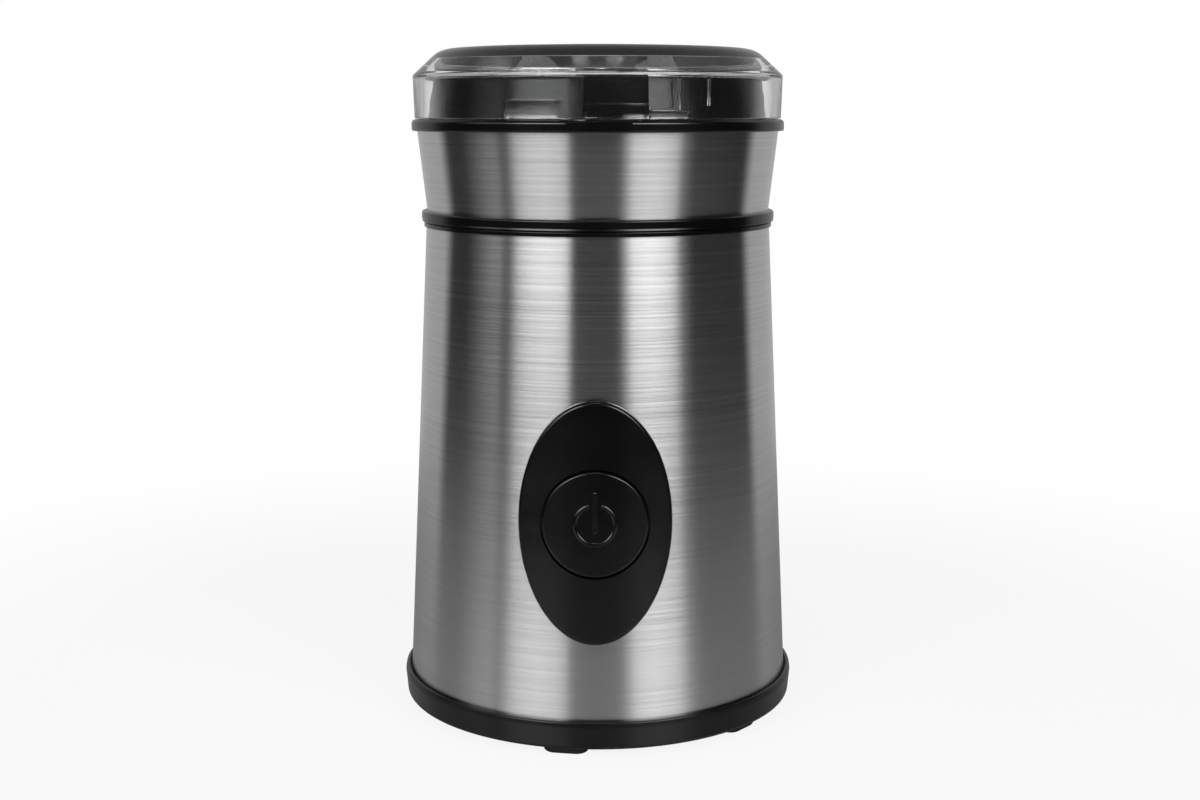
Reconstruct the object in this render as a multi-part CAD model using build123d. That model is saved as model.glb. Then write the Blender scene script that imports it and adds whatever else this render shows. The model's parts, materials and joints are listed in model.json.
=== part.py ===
from build123d import *
import math
import os

# Electric coffee grinder: a steel cup with a spinning blade over a mains motor, under a clear lid.
# Millimetres. The origin is on the table under the middle of the base, +Z is up, -Y is the front.
# Bearings round the object are in degrees from the front, growing towards +X.

# Stock and clearances
sheet = 0.5
cup_sheet = 0.6
wall = 1.8
fit_gap = 0.2
seat_gap = 0.35
running_gap = 0.03
moving_gap = 0.3
screw_radius = 1.3
screw_hole_gap = 0.4
screw_head_radius = 2.8
screw_head_height = 2.0

# Base
base_rim_wall = 1.5
base_draft = 0.5
rim_height = 7.0
floor_thickness = 2.2
ledge_height = 2.2
ledge_play = 0.05
foot_height = 2.2
foot_length = 11.0
foot_width = 6.0
foot_inset = 1.0
foot_margin = 2.4
foot_count = 6
foot_bearing = -9.0
vent_count = 16
vent_width = 2.2
vent_inner_radius = 13.0
vent_outer_radius = 27.0
base_screw_count = 3
base_screw_bearing = 21.0
base_screw_inset = 6.2
base_boss_radius = 4.0
base_boss_height = 6.0
base_screw_length = 14.0

# Steel body and the frame inside it
shell_foot_radius = 49.2
shell_top_radius = 43.4
shell_length = 116.8
lip_height = 1.0
lip_overhang = 0.5
deck_thickness = 3.0
deck_depth = 12.4
tower_height = 6.5
tower_radius = 15.5
tower_bore_radius = 9.5

# Collar, from the waist up to the rim
waist_gap = 0.3
waist_height = 2.6
waist_overhang = 1.1
waist_thickness = 1.9
band_height = 19.7
band_inset = 0.3
band_flare = 2.2
flange_height = 2.9
flange_overhang = 1.4
flange_mark_bearings = (-8.2, 10.4)
flange_mark_proud = 0.3
flange_mark_margin = 0.6
neck_lip_height = 9.6
neck_lip_wall = 2.0
neck_lip_taper = 1.2
cup_gap = 0.1
channel_web = 0.55
spigot_wall = 1.7
spigot_blend = 4.0
collar_post_radius = 3.2
collar_post_height = 7.0
collar_post_sink = 0.4
collar_screw_length = 9.0
collar_screw_bearings = (60.0, 180.0, 300.0)

# Grinding cup
cup_inset = 3.0
cup_rise = 10.6
cup_depth = 40.0
cup_taper = 7.4
cup_knee_height = 15.5
cup_knee_round = 14.0
cup_floor_round = 9.0
cup_rim_width = 0.6
cup_shoulder_width = 0.9
cup_boss_height = 3.5
cup_boss_radius = 8.5
cup_boss_spread = 3.5
cup_hole_radius = 6.5
gasket_inner_radius = 12.5

# Clear lid
lid_inset = 0.5
lid_wall = 2.6
lid_top_thickness = 2.9
lid_height = 17.95
lid_crown = 0.95
lid_crown_radius = 16.0
lid_crown_round = 300.0
lid_round = 6.5
lid_gap = 0.15
lid_shoulder_height = 6.3
lid_shoulder_width = 6.8
lid_inner_drop = 0.6
lid_inner_reach = 1.6
lid_inner_round = 0.6
lid_root = 0.5
lug_thickness = 0.8
left_lug_bearings = (-28.0, -11.0)
left_lug_height = 4.4
right_lug_bearings = (16.0, 29.0)
right_lug_height = 2.0
rib_width = 0.6
rib_proud = 0.5
rib_top_drop = 0.9
long_rib_bearing = 25.6
short_rib_bearing = 36.0
short_rib_length = 6.0

# Lid interlock
tab_bearings = (-3.0, 16.0)
tab_play = 0.6
tab_height = 3.2
tab_rise = 0.4
rod_bearings = (0.5, 8.0)
rod_thickness = 1.0
tongue_reach = 6.0
rod_gap = 0.3
rod_room = 0.45
rod_travel = 2.5
rod_foot_drop = 8.0
rod_foot_height = 3.0
rod_foot_bearings = (-5.0, 12.0)
rod_foot_margin = 1.0
rod_spring_length = 8.0
rod_spring_radius = 1.7
rod_spring_wire = 0.5
rod_spring_turns = 5
rod_spring_gap = 0.15
rod_spring_bearing = -2.5
safety_bearing = 8.0
safety_gap = 0.15
rod_peg_radius = 0.9
rod_peg_length = 3.0

# Power switch on the front
switch_drop = 8.2
bezel_half_width = 18.15
bezel_half_height = 28.95
bezel_proud = 1.8
bezel_round = 1.0
bezel_tube_wall = 1.4
bezel_peg_radius = 1.6
bezel_peg_offset = 21.0
bezel_peg_length = 4.2
button_radius = 12.6
button_gap = 0.4
button_proud = 2.1
button_face = 1.8
button_wall = 1.6
button_flange_width = 0.9
button_flange_height = 1.0
button_travel = 2.5
button_round = 0.7
stem_radius = 2.0
bracket_depth = 5.9
bracket_thickness = 1.5
bracket_arm_width = 1.6
bracket_arm_height = 14.0
button_spring_radius = 3.6
button_spring_wire = 0.6
button_spring_turns = 4
button_spring_gap = 0.45
plunger_radius = 1.2
plunger_proud = 1.8
plunger_inset = 2.6
plunger_depth = 3.0
plunger_room = 1.4
plunger_stroke_share = 0.6

# Snap switches, the same block twice
block_width = 6.4
block_depth = 9.0
block_length = 16.0
block_bore_depth = 5.5
terminal_length = 3.0
terminal_width = 3.0
terminal_thickness = 0.6
terminal_pitch = 5.5

# Cord outlet at the back
gland_bore_radius = 3.4
gland_radius = 5.5
gland_length = 10.0
gland_plate_size = 15.0
gland_plate_proud = 1.2
gland_collar_radius = 7.5
gland_collar_thickness = 1.6
gland_collar_gap = 0.8

# Motor
shaft_radius = 3.0
shaft_tail = 2.4
stack_height = 24.0
stator_width = 60.0
stator_depth = 42.0
stator_corner = 10.0
window_width = 46.0
window_depth = 33.0
window_corner = 3.0
pole_neck_width = 14.0
pole_shoe_angle = 60.0
pole_shoe_thickness = 3.0
rotor_radius = 15.0
air_gap = 0.5
slot_count = 12
slot_radius = 2.2
slot_ring_radius = 10.5
slot_mouth = 1.4
winding_gap = 0.2
end_turn_height = 5.5
end_turn_radius = 13.4
end_turn_inner_radius = 4.2
coil_gap = 0.3
coil_side_gap = 2.7
coil_round = 1.4
coil_room = 10.5
commutator_gap = 1.5
commutator_height = 11.0
commutator_radius = 10.0
commutator_core_radius = 7.0
riser_height = 1.4
riser_width = 1.4
bar_count = 24
bar_gap = 0.5
fan_gap = 3.5
fan_height = 10.0
fan_radius = 22.0
fan_plate = 1.2
fan_hub_radius = 6.0
fan_vane_count = 11
fan_vane_thickness = 1.1
fan_vane_curve = 18.0
frame_plate = 2.0
frame_width = 16.0
frame_leg_radius = 30.0
frame_arm_reach = 31.0
lower_frame_drop = 4.0
bearing_radius = 7.0
bearing_length = 6.6
cup_wall_thickness = 1.5
motor_bolt_radius = 1.9
motor_bolt_ring = 26.0
bolt_head_radius = 3.0
bolt_head_height = 2.2
bolt_nut_radius = 3.2
bolt_nut_height = 2.4
bolt_tail = 1.6
mount_ring = 19.5
mount_post_radius = 4.0
mount_post_length = 5.4
mount_hole_depth = 7.0
mount_grip = 6.0
grommet_height = 2.6
grommet_gap = 0.5
brush_size = 6.0
brush_length = 13.0
brush_arm_width = 14.0
brush_gap = 0.15
brush_channel_gap = 0.15
brush_tube_wall = 1.4
brush_tube_reach = 31.0
brush_tube_start = 12.6
brush_spring_wire = 0.5
brush_spring_turns = 4

# Blade
hub_height = 3.8
hub_radius = 6.5
hub_gap = 0.6
thread_radius = 2.5
blade_thickness = 1.4
blade_root_radius = 8.0
blade_root_width = 12.0
blade_tip_width = 7.0
blade_pitch = 20.0
blade_rise = 3.2
nut_width = 8.0
nut_height = 3.6
nut_dome = 1.8
seal_flange_radius = 8.8
seal_flange_height = 1.0
seal_gap = 0.3

# Radii and levels that follow from the sizes above
base_radius = shell_foot_radius + base_rim_wall
waist_radius = shell_top_radius + waist_overhang
band_foot_radius = shell_top_radius - band_inset
band_top_radius = band_foot_radius + band_flare
flange_radius = band_top_radius + flange_overhang
lid_radius = flange_radius - lid_inset
cup_radius = shell_top_radius - cup_inset
cup_floor_radius = cup_radius - cup_taper
blade_tip_radius = cup_floor_radius
outside_reach = 1.25 * shell_foot_radius
inside_reach = 0.7 * shell_top_radius
floor_level = foot_height
floor_top = floor_level + floor_thickness
ledge_level = floor_top + ledge_height
rim_top = floor_level + rim_height
shell_top = ledge_level + shell_length
lip_top = shell_top + lip_height
waist_foot = lip_top + waist_gap
waist_top = waist_foot + waist_height
band_top = waist_top + band_height
flange_top = band_top + flange_height
neck_lip_top = flange_top + neck_lip_height
cup_top = flange_top + cup_rise
cup_floor = cup_top - cup_depth
deck_top = shell_top - deck_depth
deck_level = deck_top - deck_thickness
tower_top = deck_top + tower_height
lid_foot = flange_top + lid_gap
lid_top = flange_top + lid_height
gland_level = rim_top + seat_gap + gland_plate_size / 2
switch_level = ledge_level + shell_length / 2 - switch_drop
rod_foot_level = deck_level - rod_foot_drop
upper_frame_level = deck_level - mount_post_length - grommet_height - frame_plate
fan_level = upper_frame_level - fan_gap - fan_height
stack_top = fan_level - coil_room
stack_level = stack_top - stack_height
commutator_level = stack_level - end_turn_height - commutator_gap - commutator_height
brush_level = commutator_level + commutator_height / 2
lower_frame_level = commutator_level - lower_frame_drop
shaft_foot_level = lower_frame_level - bearing_length - shaft_tail
collar_bore_radius = cup_radius + cup_gap
neck_lip_radius = collar_bore_radius + neck_lip_wall
lid_bore_radius = lid_radius - lid_wall
waist_bore = waist_radius - waist_thickness
channel_radius = collar_bore_radius + channel_web
rod_inner_radius = channel_radius + fit_gap
rod_outer_radius = rod_inner_radius + rod_thickness
boss_top = cup_floor + cup_boss_height
hub_level = boss_top + seal_flange_height + cup_sheet + hub_gap
blade_level = hub_level + hub_height
nut_level = blade_level + blade_thickness
button_bore_radius = button_radius + button_gap
button_flange_radius = button_radius + button_flange_width
bezel_tube_bore = button_flange_radius + button_gap
bezel_tube_radius = bezel_tube_bore + bezel_tube_wall
base_screw_ring = shell_foot_radius - base_screw_inset
collar_screw_ring = collar_bore_radius - spigot_wall - collar_post_radius + collar_post_sink


# Helpers


def shell_radius(level):
    """Outer radius of the steel body at a level."""
    share = (level - ledge_level) / shell_length
    return shell_foot_radius + (shell_top_radius - shell_foot_radius) * share


def frame_radius(level):
    """Outer radius of the moulded frame, which stands just inside the steel body."""
    return shell_radius(level) - sheet - fit_gap


def band_radius(level):
    """Outer radius of the steel collar band at a level."""
    return band_foot_radius + (band_top_radius - band_foot_radius) * (level - waist_top) / band_height


def turned(*corners):
    """Solid of revolution about Z. Each corner is (radius, level) or (radius, level, rounding)."""
    rounds = [corner[2] if len(corner) > 2 else 0 for corner in corners]
    outline = FilletPolyline(*[corner[:2] for corner in corners], radius=rounds, close=True)
    return revolve(Plane.XZ * make_face(outline), Axis.Z)


def pressed(thickness, *corners):
    """Sheet-metal bowl of one thickness, turned about Z, lying inside the outline of its corners."""
    rounds = [corner[2] if len(corner) > 2 else 0 for corner in corners[1:-1]]
    path = FilletPolyline(*[corner[:2] for corner in corners], radius=rounds)
    outline = path.wire().offset_2d(thickness, kind=Kind.INTERSECTION, side=Side.LEFT, closed=True)
    return revolve(Plane.XZ * make_face(outline.edges()), Axis.Z)


def tube(outer, inner, low, high):
    """Plain round tube between two levels."""
    return Pos(0, 0, low) * extrude(Circle(outer) - Circle(inner), high - low)


def disc(radius, low, high, x=0, y=0):
    """Upright round bar between two levels."""
    return Pos(x, y, low) * extrude(Circle(radius), high - low)


def block(x_low, x_high, y_low, y_high, low, high):
    """Rectangular block between corners."""
    middle = ((x_low + x_high) / 2, (y_low + y_high) / 2, (low + high) / 2)
    return Pos(*middle) * Box(x_high - x_low, y_high - y_low, high - low)


def spot(radius, bearing):
    """The (x, y) of a place at a bearing from the front."""
    turn = math.radians(bearing)
    return radius * math.sin(turn), -radius * math.cos(turn)


def widened(bearings, play):
    """Two bearings, moved apart by some play at each end."""
    return bearings[0] - play, bearings[1] + play


def sector(inner, outer, bearings, low, high):
    """Piece of a round tube between two bearings."""
    first, last = bearings
    arc = Pos(0, 0, low) * extrude(Circle(outer) - Circle(inner), high - low)
    reach = outer * 2
    corners = [(0, 0), spot(reach, first), spot(reach, (first + last) / 2), spot(reach, last)]
    wedge = Pos(0, 0, low) * extrude(make_face(Polyline(*corners, close=True)), high - low)
    return arc & wedge


def along_y(shape_2d, y_low, y_high, level, x=0):
    """A flat outline in X and Z, pushed along +Y between two depths."""
    plane = Plane(origin=(x, y_low, level), x_dir=(1, 0, 0), z_dir=(0, 1, 0))
    return extrude(plane * shape_2d, y_high - y_low)


def from_front(shape_2d, level):
    """Cutter or blank that runs from outside the front of the body in through its wall."""
    return along_y(shape_2d, -outside_reach, -inside_reach, level)


def body_cone(proud):
    """Solid cone that stands this far outside the steel body, over the whole of its height."""
    low, high = ledge_level, shell_top
    return turned((0, low), (shell_radius(low) + proud, low), (shell_radius(high) + proud, high), (0, high))


def spring(radius, wire, low, high, turns):
    """Round compression spring about Z, of square wire, standing between two levels."""
    rise = high - low - wire
    path = Pos(0, 0, low + wire / 2) * Helix(rise / turns, rise, radius)
    start = path.edge()
    profile = Plane(origin=start @ 0, z_dir=start % 0) * Rectangle(wire, wire)
    return sweep(profile, path=start, is_frenet=True)


# Base


def foot_place(index):
    """Where a foot sits under the base, turned to follow the rim."""
    bearing = foot_bearing + index * 360 / foot_count
    ring = base_radius - base_draft - foot_margin - foot_width / 2
    x, y = spot(ring, bearing)
    return Pos(x, y, 0) * Rot(0, 0, bearing)


def foot(index):
    """Rubber pad, glued in its pocket, with a rounded lower edge."""
    pad = extrude(SlotOverall(foot_length, foot_width), foot_height + foot_inset)
    lower_edge = pad.edges().group_by(Axis.Z)[0]
    return foot_place(index) * fillet(lower_edge, 0.9)


def base_screw_spots():
    """The places of the base screws."""
    step = 360 / base_screw_count
    return [spot(base_screw_ring, base_screw_bearing + n * step) for n in range(base_screw_count)]


def base_cover():
    """Moulded dish under the body: rim, ledge for the steel body, vents, pockets and screw bosses."""
    lip_bore = shell_foot_radius + seat_gap
    ledge_bore = shell_foot_radius - sheet - ledge_play
    dish = turned(
        (0, floor_level),
        (base_radius - base_draft, floor_level, 0.9),
        (base_radius, rim_top - 1.4, 1.0),
        (base_radius - 0.25, rim_top, 0.5),
        (lip_bore, rim_top, 0.3),
        (lip_bore, ledge_level),
        (ledge_bore, ledge_level),
        (ledge_bore, floor_top),
        (0, floor_top),
    )
    for index in range(foot_count):
        pocket = extrude(SlotOverall(foot_length + 2 * fit_gap, foot_width + 2 * fit_gap), foot_inset)
        dish -= foot_place(index) * Pos(0, 0, floor_level) * pocket
    boss_top_level = floor_level + base_boss_height
    for x, y in base_screw_spots():
        dish += disc(base_boss_radius, floor_level, boss_top_level, x, y)
        dish -= disc(screw_head_radius + screw_hole_gap, floor_level, boss_top_level - 2.2, x, y)
        dish -= disc(screw_radius + screw_hole_gap, floor_level, boss_top_level, x, y)
    vent_middle = (vent_inner_radius + vent_outer_radius) / 2
    vent = extrude(SlotOverall(vent_outer_radius - vent_inner_radius, vent_width), floor_thickness)
    for index in range(vent_count):
        dish -= Rot(0, 0, index * 360 / vent_count) * Pos(vent_middle, 0, floor_level) * vent
    return dish


def screw(x, y, head_level, length, up=True):
    """Pan-head screw with its head at a level and its shank running up, or down, from there."""
    head = Pos(0, 0, -screw_head_height) * extrude(Circle(screw_head_radius), screw_head_height)
    head = fillet(head.edges().group_by(Axis.Z)[0], 0.7)
    recess = Pos(0, 0, -screw_head_height) * extrude(Rectangle(0.8, 3.4) + Rectangle(3.4, 0.8), 0.9)
    body = head - recess + extrude(Circle(screw_radius), length)
    return Pos(x, y, head_level) * (body if up else Rot(180, 0, 0) * body)


def base_screws():
    """The screws that hold the base to the frame."""
    head_level = floor_level + base_boss_height - 2.2
    return [screw(x, y, head_level, base_screw_length) for x, y in base_screw_spots()]


# Steel body and moulded frame


def gland_slot(grow):
    """Cutter for the cord outlet: a slot open at the foot, with a round top."""
    radius = gland_radius + grow
    outline = Circle(radius) + Pos(0, gland_level / 2) * Rectangle(2 * radius, gland_level)
    return along_y(outline, inside_reach, outside_reach, gland_level)


def peg_levels():
    """Levels of the two pegs that hold the switch plate."""
    return switch_level - bezel_peg_offset, switch_level + bezel_peg_offset


def body_shell():
    """Steel sleeve, wider at the foot, with openings for the switch and the cord outlet."""
    low, high = ledge_level, shell_top
    sleeve = turned(
        (shell_radius(low) - sheet, low),
        (shell_radius(low), low),
        (shell_radius(high), high),
        (shell_radius(high) - sheet, high),
    )
    sleeve -= from_front(Circle(bezel_tube_radius + fit_gap), switch_level)
    for level in peg_levels():
        sleeve -= from_front(Circle(bezel_peg_radius + fit_gap), level)
    return sleeve - gland_slot(fit_gap)


def chassis():
    """Moulded inner frame: tapered wall, deck over the motor, tower under the cup, posts and shelves."""
    low, top = floor_top, shell_top
    lip_radius = shell_top_radius + lip_overhang
    frame = turned(
        (frame_radius(low) - wall, low),
        (frame_radius(low), low),
        (frame_radius(top), top),
        (lip_radius, top),
        (lip_radius, lip_top, 0.3),
        (frame_radius(top) - wall, lip_top),
        (frame_radius(deck_top) - wall, deck_top),
        (tower_radius, deck_top, 1.0),
        (tower_radius, tower_top),
        (tower_bore_radius, tower_top),
        (tower_bore_radius, deck_level),
        (frame_radius(deck_level) - wall, deck_level),
    )
    post_foot = floor_level + base_boss_height
    for x, y in base_screw_spots():
        post = disc(base_boss_radius, post_foot, post_foot + base_screw_length + 3, x, y)
        clear = disc(base_boss_radius + fit_gap, low, post_foot, x, y)
        hole = disc(screw_radius + 0.1, post_foot, post_foot + base_screw_length, x, y)
        frame = frame - clear + post - hole
    for side in (-1, 1):
        post_low = upper_frame_level + frame_plate + grommet_height
        frame += disc(mount_post_radius, post_low, deck_level, side * mount_ring)
        frame -= disc(screw_radius + 0.1, post_low, post_low + mount_hole_depth, side * mount_ring)
    for bearing in collar_screw_bearings:
        x, y = spot(collar_screw_ring, bearing)
        frame -= disc(screw_radius + screw_hole_gap, deck_level, deck_top, x, y)
    frame += shelves()
    frame -= from_front(Circle(bezel_tube_radius + fit_gap), switch_level)
    for level in peg_levels():
        frame -= from_front(Circle(bezel_peg_radius + fit_gap), level)
    frame -= gland_slot(fit_gap)
    rod_slot = widened(rod_bearings, 0.5)
    slot_low = rod_foot_level - 2
    frame -= sector(channel_radius, shell_foot_radius, rod_slot, slot_low, top)
    frame -= sector(channel_radius, rod_outer_radius + fit_gap, rod_slot, top, lip_top)
    foot_slot = widened(rod_foot_bearings, 1)
    foot_high = rod_foot_level + rod_foot_height + rod_travel + 1
    frame -= sector(rod_foot_radius() - fit_gap, rod_outer_radius + fit_gap, foot_slot, slot_low, foot_high)
    return frame


def safety_block_top():
    """Level of the top of the safety switch, just under the interlock rod."""
    return rod_foot_level - 0.1 - plunger_proud


def spring_spot():
    """The (x, y) of the interlock spring."""
    return spot((rod_foot_radius() + rod_outer_radius) / 2, rod_spring_bearing)


def shelves():
    """Two small shelves on the frame's inner wall: under the safety switch and under the rod spring."""
    switch_foot = safety_block_top() - block_length
    x, y = safety_centre()
    half = block_width / 2 + 0.4
    front = -frame_radius(switch_foot) + 0.4
    switch_shelf = block(x - half, x + half, front, y + block_depth / 2, switch_foot - 2.5, switch_foot)
    x, y = spring_spot()
    spring_foot = rod_foot_level - rod_spring_length
    half = rod_spring_radius + rod_spring_wire
    front = -frame_radius(spring_foot) + 0.4
    ledge = block(x - half, x + half, front, y + half, spring_foot - 2, spring_foot)
    inside = turned(
        (0, floor_top),
        (frame_radius(floor_top) - 0.4, floor_top),
        (frame_radius(shell_top) - 0.4, shell_top),
        (0, shell_top),
    )
    return (switch_shelf + ledge) & inside


# Collar


def collar_frame():
    """Moulded ring that carries the cup, with the rim flange above and a spigot into the body below."""
    bore = collar_bore_radius
    spigot_radius = frame_radius(shell_top) - wall - fit_gap
    backing = sheet + 0.1
    ring = turned(
        (spigot_radius - spigot_wall, deck_top),
        (spigot_radius, deck_top, 0.4),
        (spigot_radius, lip_top),
        (waist_bore, lip_top),
        (waist_bore, waist_top),
        (band_radius(waist_top) - backing, waist_top),
        (band_radius(band_top) - backing, band_top),
        (flange_radius, band_top, 0.5),
        (flange_radius, flange_top, 1.1),
        (neck_lip_radius, flange_top),
        (neck_lip_radius - neck_lip_taper, neck_lip_top, 0.3),
        (bore, neck_lip_top),
        (bore, lip_top + spigot_blend),
        (spigot_radius - spigot_wall, lip_top),
    )
    for bearing in collar_screw_bearings:
        x, y = spot(collar_screw_ring, bearing)
        ring += disc(collar_post_radius, deck_top, deck_top + collar_post_height, x, y)
        ring -= disc(screw_radius + 0.1, deck_top, deck_top + collar_post_height - 1, x, y)
    channel = widened(rod_bearings, 0.5)
    ring -= sector(channel_radius, rod_outer_radius + rod_room, channel, deck_top, neck_lip_top)
    tab_gap = widened(tab_bearings, tab_play)
    ring -= sector(channel_radius, neck_lip_radius + 1, tab_gap, flange_top, neck_lip_top)
    mark = sector(
        flange_radius - 2,
        flange_radius + flange_mark_proud,
        flange_mark_bearings,
        band_top + flange_mark_margin,
        flange_top - flange_mark_margin,
    )
    return ring + mark


def collar_screws():
    """The screws that pull the collar down onto the deck."""
    spots = [spot(collar_screw_ring, bearing) for bearing in collar_screw_bearings]
    return [screw(x, y, deck_level, collar_screw_length) for x, y in spots]


def waist_ring():
    """Black ring under the collar band, with a chamfered lower edge."""
    return turned(
        (waist_bore, waist_foot),
        (waist_radius - 0.7, waist_foot),
        (waist_radius, waist_foot + 0.6, 0.2),
        (waist_radius, waist_top, 0.6),
        (waist_bore, waist_top),
    )


def collar_band():
    """Steel band round the collar, wider at the rim."""
    return turned(
        (band_radius(waist_top) - sheet, waist_top),
        (band_radius(waist_top), waist_top),
        (band_radius(band_top), band_top),
        (band_radius(band_top) - sheet, band_top),
    )


# Grinding cup


def grinding_bowl():
    """Drawn steel cup: rolled rim, straight neck, shoulder notched for the lid's tab, and a raised boss."""
    radius, floor = cup_radius, cup_floor
    cup = pressed(
        cup_sheet,
        (cup_hole_radius, floor + cup_boss_height),
        (cup_boss_radius, floor + cup_boss_height, 1.5),
        (cup_boss_radius + cup_boss_spread, floor, 1.5),
        (cup_floor_radius, floor, cup_floor_round),
        (radius, floor + cup_knee_height, cup_knee_round),
        (radius, cup_top),
    )
    shoulder_radius = radius + cup_shoulder_width
    shoulder = tube(shoulder_radius, radius - cup_sheet / 2, neck_lip_top, neck_lip_top + cup_sheet)
    shoulder = fillet(shoulder.edges().filter_by(GeomType.CIRCLE).sort_by(SortBy.RADIUS)[-2:], 0.25)
    notch = widened(tab_bearings, tab_play)
    low, high = neck_lip_top, neck_lip_top + cup_sheet
    shoulder -= sector(channel_radius, shoulder_radius + 1, notch, low, high)
    rim = tube(radius + cup_rim_width, radius - cup_sheet / 2, cup_top - 0.9, cup_top)
    rim = fillet(rim.edges().filter_by(GeomType.CIRCLE).sort_by(SortBy.RADIUS)[-2:], 0.4)
    return cup + shoulder + rim


def bowl_gasket():
    """Rubber ring between the tower and the underside of the cup."""
    outer = tower_radius - 0.5
    return turned(
        (gasket_inner_radius, tower_top),
        (outer, tower_top, 0.6),
        (outer, cup_floor, 0.6),
        (gasket_inner_radius, cup_floor),
    )


def bowl_seal():
    """Top-hat seal that lines the hole in the floor of the cup round the shaft."""
    bore = shaft_radius + seal_gap
    seat = boss_top + cup_sheet
    return turned(
        (bore, tower_top),
        (cup_hole_radius - 0.05, tower_top, 0.5),
        (cup_hole_radius - 0.05, seat),
        (seal_flange_radius, seat, 0.3),
        (seal_flange_radius - 0.6, seat + seal_flange_height, 0.4),
        (bore, seat + seal_flange_height),
    )


# Clear lid


def lid():
    """Clear moulded cap: crowned top, sloping shoulder, lugs and ribs inside, tab and interlock tongue."""
    edge_level = lid_top - lid_crown
    shoulder_foot = edge_level - lid_shoulder_height
    plateau = lid_radius - lid_shoulder_width
    inner_top = edge_level - lid_top_thickness
    inner_foot = shoulder_foot - lid_inner_drop
    cap = turned(
        (lid_bore_radius, lid_foot),
        (lid_radius - 0.3, lid_foot, 0.3),
        (lid_radius, shoulder_foot, 0.9),
        (plateau, edge_level, lid_round),
        (lid_crown_radius, lid_top, lid_crown_round),
        (0, lid_top),
        (0, inner_top),
        (plateau + lid_inner_reach, inner_top, lid_inner_round),
        (lid_bore_radius, inner_foot, 0.4),
    )
    tab_low = lid_foot + tab_rise - 0.05
    inside_wall = lid_bore_radius + lid_root
    tab = sector(rod_inner_radius, inside_wall, tab_bearings, tab_low, tab_low + tab_height)
    tongue_foot = flange_top - tongue_reach
    tongue = sector(rod_inner_radius, rod_outer_radius, rod_bearings, tongue_foot, tab_low + 1)
    cap = cap + tab + tongue
    lugs = ((left_lug_bearings, left_lug_height), (right_lug_bearings, right_lug_height))
    for bearings, height in lugs:
        inner = lid_bore_radius - lug_thickness
        cap += sector(inner, inside_wall, bearings, lid_foot, lid_foot + height)
    rib_top = inner_foot - rib_top_drop
    rib_turn = math.degrees(rib_width / lid_bore_radius) / 2
    for bearing, low in ((long_rib_bearing, lid_foot), (short_rib_bearing, rib_top - short_rib_length)):
        inner = lid_bore_radius - rib_proud
        turn = widened((bearing, bearing), rib_turn)
        cap += sector(inner, inside_wall, turn, low, rib_top)
    return cap


def interlock_rod():
    """Flat rod that the lid's tongue holds down. Its foot works the safety switch."""
    top = flange_top - tongue_reach - rod_gap
    rod = sector(rod_inner_radius, rod_outer_radius, rod_bearings, rod_foot_level, top)
    foot_top = rod_foot_level + rod_foot_height
    rod += sector(rod_foot_radius(), rod_outer_radius, rod_foot_bearings, rod_foot_level, foot_top)
    x, y = spring_spot()
    return rod + disc(rod_peg_radius, rod_foot_level - rod_peg_length, rod_foot_level, x, y)


def interlock_spring():
    """Spring that lifts the rod when the lid comes off."""
    x, y = spring_spot()
    low = rod_foot_level - rod_spring_length
    high = rod_foot_level - rod_spring_gap
    return Pos(x, y, 0) * spring(rod_spring_radius, rod_spring_wire, low, high, rod_spring_turns)


# Snap switches


def snap_switch():
    """Small sealed switch, standing on z = 0 with its button hole in the top and terminals below."""
    case = extrude(Rectangle(block_width, block_length), block_depth)
    case = chamfer(case.edges().filter_by(Axis.Z), 0.6)
    hole = disc(plunger_radius + fit_gap, block_depth - block_bore_depth, block_depth)
    thick, wide = terminal_thickness / 2, terminal_width / 2
    leg = block(-thick, thick, -wide, wide, -terminal_length, 0)
    return case - hole + [Pos(0, step * terminal_pitch, 0) * leg for step in (-1, 0, 1)]


def power_switch():
    """The switch behind the button, lying on its back so that its plunger faces the front."""
    back = (0, -switch_face() + block_depth, switch_level)
    return Plane(origin=back, x_dir=(1, 0, 0), z_dir=(0, -1, 0)) * snap_switch()


def bracket_face():
    """Depth of the front of the bracket behind the button, from the axis."""
    return shell_radius(switch_level) - bracket_depth


def skirt_end():
    """Depth of the inner end of the button's skirt, from the axis."""
    return bracket_face() + button_travel + 0.1


def switch_face():
    """Depth of the front of the power switch, from the axis."""
    return bracket_face() - bracket_thickness - plunger_proud - plunger_room


def stem_tip():
    """Depth of the end of the button's stem, which meets the plunger near the end of its travel."""
    free_play = button_travel * (1 - plunger_stroke_share) + 0.1
    return switch_face() + plunger_proud + free_play


def switch_plunger():
    """Pin of the power switch, which the button's stem pushes."""
    face = -switch_face()
    return along_y(Circle(plunger_radius), face - plunger_proud, face + plunger_depth, switch_level)


def safety_centre():
    """The (x, y) of the safety switch's middle. Its top front corner stands close to the frame's wall."""
    x = spot(rod_outer_radius, safety_bearing)[0]
    reach = frame_radius(safety_block_top()) - wall - safety_gap
    front = math.sqrt(reach**2 - (x + block_width / 2) ** 2)
    return x, block_depth / 2 - front


def safety_switch():
    """The switch under the interlock rod, standing upright with its plunger at the top."""
    x, y = safety_centre()
    top = safety_block_top()
    half = block_width / 2
    case = block(x - half, x + half, y - block_depth / 2, y + block_depth / 2, top - block_length, top)
    case = chamfer(case.edges().filter_by(Axis.Z), 0.6)
    hole = disc(plunger_radius + fit_gap, top - block_bore_depth, top, x, safety_plunger_y())
    legs = []
    for step in (-1, 0, 1):
        level = top - block_length / 2 + step * terminal_pitch
        leg = Rectangle(terminal_width, terminal_thickness)
        legs.append(along_y(leg, y + block_depth / 2, y + block_depth / 2 + terminal_length, level, x))
    return case - hole + legs


def safety_plunger_y():
    """The y of the safety plunger, near the front of its switch."""
    return safety_centre()[1] - block_depth / 2 + plunger_inset


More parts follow.
